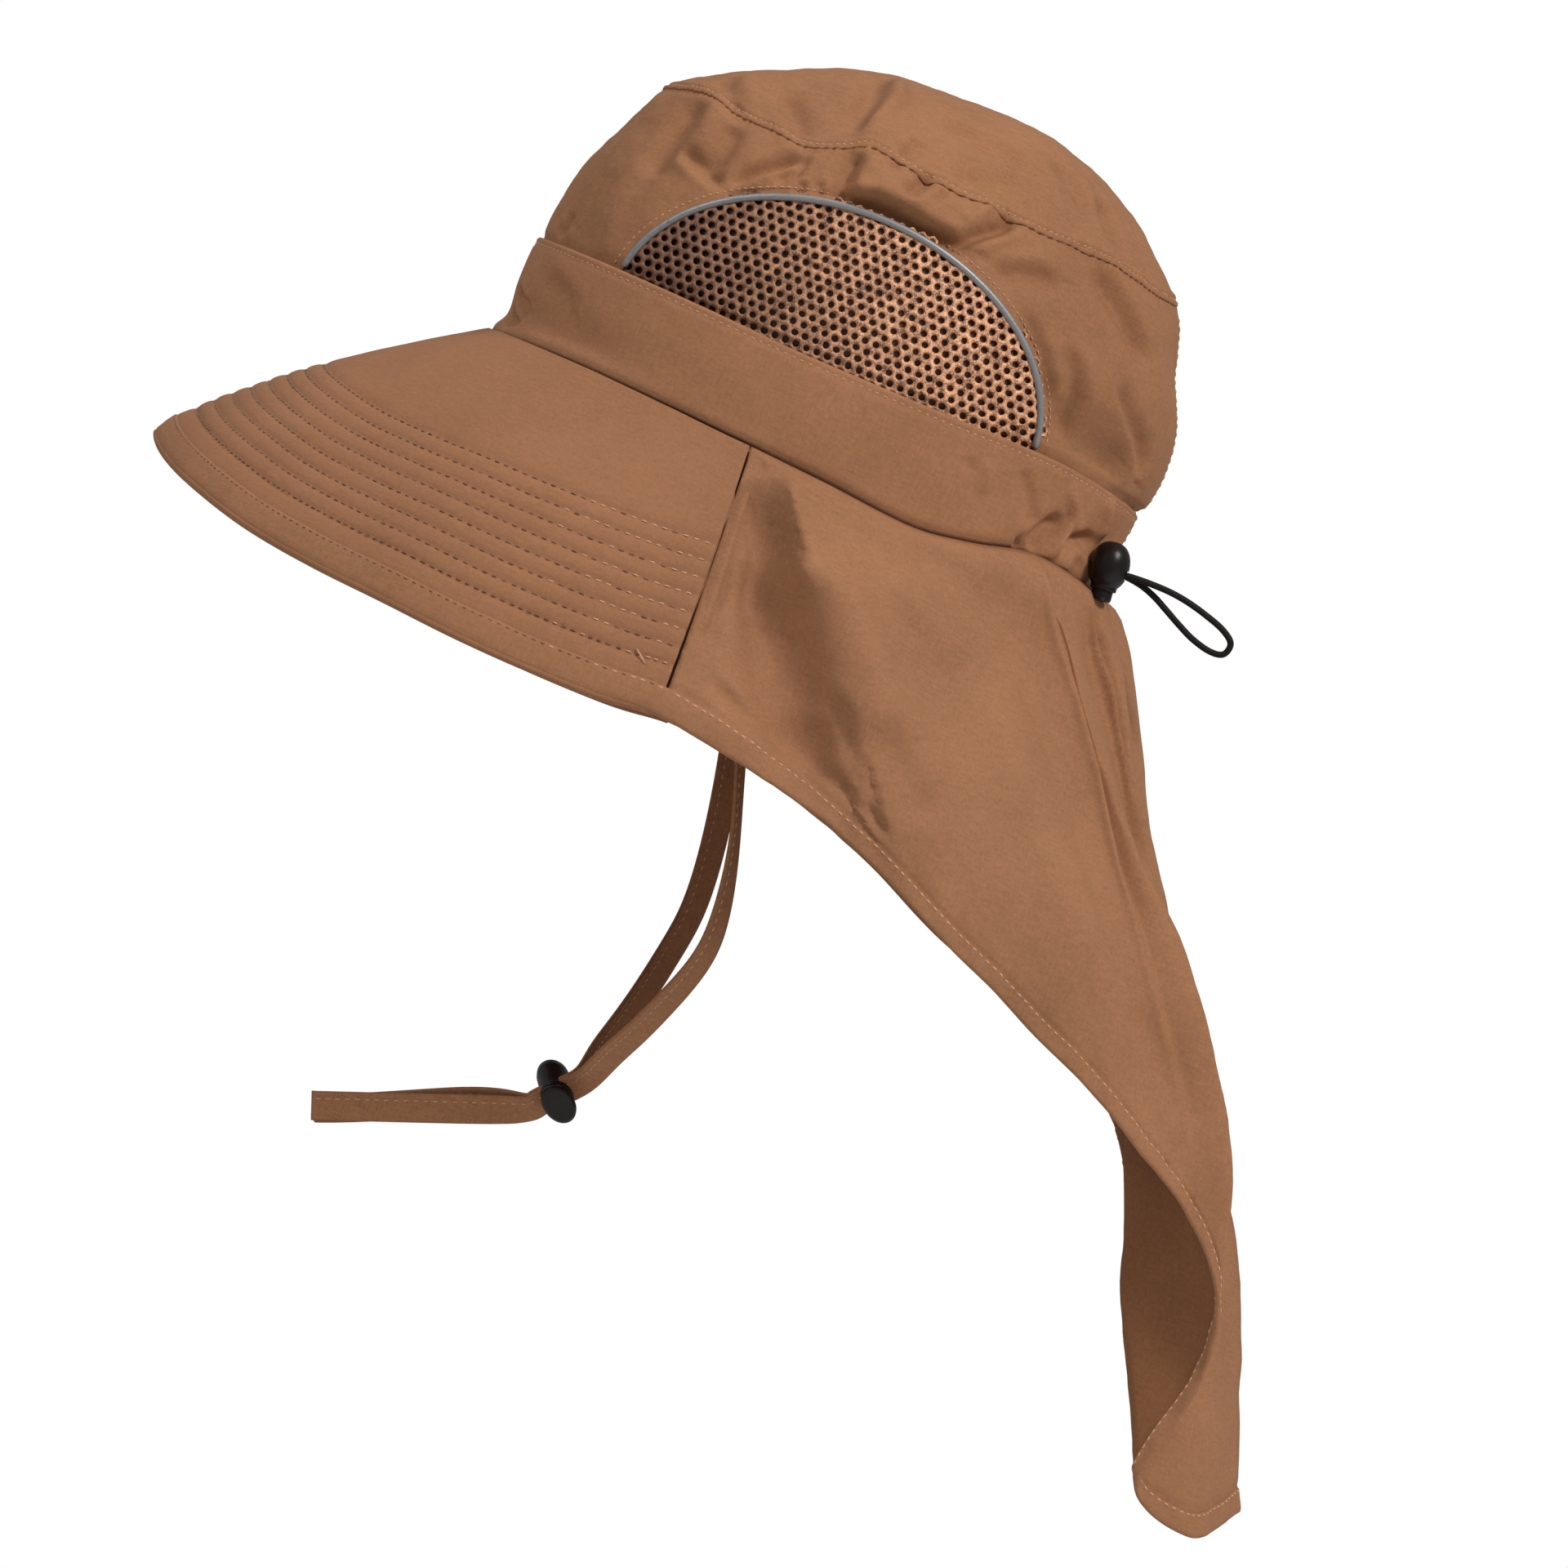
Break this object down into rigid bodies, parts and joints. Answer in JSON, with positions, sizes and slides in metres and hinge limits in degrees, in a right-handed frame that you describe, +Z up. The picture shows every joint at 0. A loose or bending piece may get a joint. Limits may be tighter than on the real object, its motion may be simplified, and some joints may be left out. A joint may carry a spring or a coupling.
{
  "type": "outdoor hat",
  "caption": "Soft sun hat with a stiffened front visor, a long neck flap, mesh vents, a gathered band with an elastic drawcord, and a chin strap with a cord lock.",
  "frame": {"origin": "middle of the head opening at the band's lower edge, where the hat sits on a head", "axes": "+Z up as worn, -Y the way the wearer looks, +X the wearer's left; the head opening is tilted back 23 degrees, front up"},
  "size_m": [0.2426, 0.3327, 0.4462],
  "materials": {
    "crown_cloth": "matte woven polyester",
    "band_cloth": "matte woven polyester",
    "visor_cloth": "matte woven polyester, stiffened and stitched",
    "flap_cloth": "matte woven polyester",
    "strap_cloth": "folded woven tape",
    "spacer_mesh": "knitted spacer mesh",
    "reflective_piping": "grey reflective piping",
    "lock_plastic": "black moulded plastic",
    "elastic_cord": "black braided elastic"
  },
  "bodies": {
    "hat": {"crown_top": "crown_cloth", "crown_side": "crown_cloth", "vent_mesh_left": "spacer_mesh", "vent_mesh_right": "spacer_mesh", "vent_piping_left": "reflective_piping", "vent_piping_right": "reflective_piping", "band": "band_cloth", "visor": "visor_cloth", "neck_flap": "flap_cloth", "chin_strap": "strap_cloth", "chin_lock_body": "lock_plastic", "back_lock_body": "lock_plastic", "drawcord": "elastic_cord"},
    "chin_button": {"chin_lock_button": "lock_plastic"},
    "back_button": {"back_lock_button": "lock_plastic"}
  },
  "joints": [
    {"name": "chin_button_press", "type": "slide", "parent": "hat", "child": "chin_button", "axis": [-0.8344, -0.1407, 0.5328], "range_m": [0, 0.002], "stiffness_N_per_m": 500, "springref_m": -0.002},
    {"name": "back_button_press", "type": "slide", "parent": "hat", "child": "back_button", "axis": [0, 0.2707, 0.9626], "range_m": [0, 0.002], "stiffness_N_per_m": 500, "springref_m": -0.002}
  ]
}
